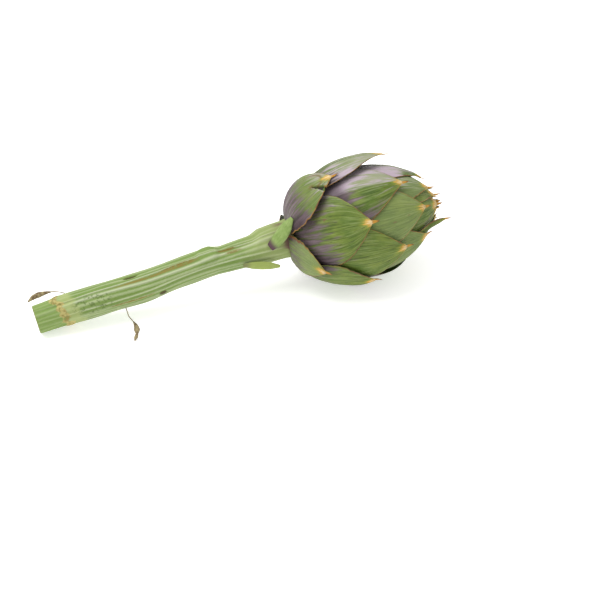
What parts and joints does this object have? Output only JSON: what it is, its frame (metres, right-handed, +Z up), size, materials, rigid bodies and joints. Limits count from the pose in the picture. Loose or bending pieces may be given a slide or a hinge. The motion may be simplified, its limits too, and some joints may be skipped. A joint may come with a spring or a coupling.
{
  "type": "artichoke",
  "caption": "Violet artichoke cut with a long ribbed stem, lying on its side: a barrel-shaped head of overlapping spiny bracts on one receptacle.",
  "frame": {"origin": "on the surface that the artichoke lies on, under the middle of its bounding box", "axes": "+X runs from the cut end of the stem towards the head's apex, +Z up"},
  "size_m": [0.2644, 0.0766, 0.0795],
  "materials": {
    "bract": "satin",
    "stem": "matte",
    "leaf": "satin",
    "dried_leaf": "matte"
  },
  "bodies": {
    "root": {"bract_01": "bract", "bract_02": "bract", "bract_03": "bract", "bract_04": "bract", "bract_05": "bract", "bract_06": "bract", "bract_07": "bract", "bract_08": "bract", "bract_09": "bract", "bract_10": "bract", "bract_11": "bract", "bract_12": "bract", "bract_13": "bract", "bract_14": "bract", "bract_15": "bract", "bract_16": "bract", "bract_17": "bract", "bract_18": "bract", "bract_19": "bract", "bract_20": "bract", "bract_21": "bract", "bract_22": "bract", "bract_23": "bract", "bract_24": "bract", "bract_25": "bract", "bract_26": "bract", "bract_27": "bract", "bract_28": "bract", "bract_29": "bract", "bract_30": "bract", "inner_bud": "bract", "stem": "stem", "neck_leaf": "leaf", "stem_leaf": "leaf", "cut_end_shred": "dried_leaf", "hanging_shred": "dried_leaf"}
  },
  "joints": []
}
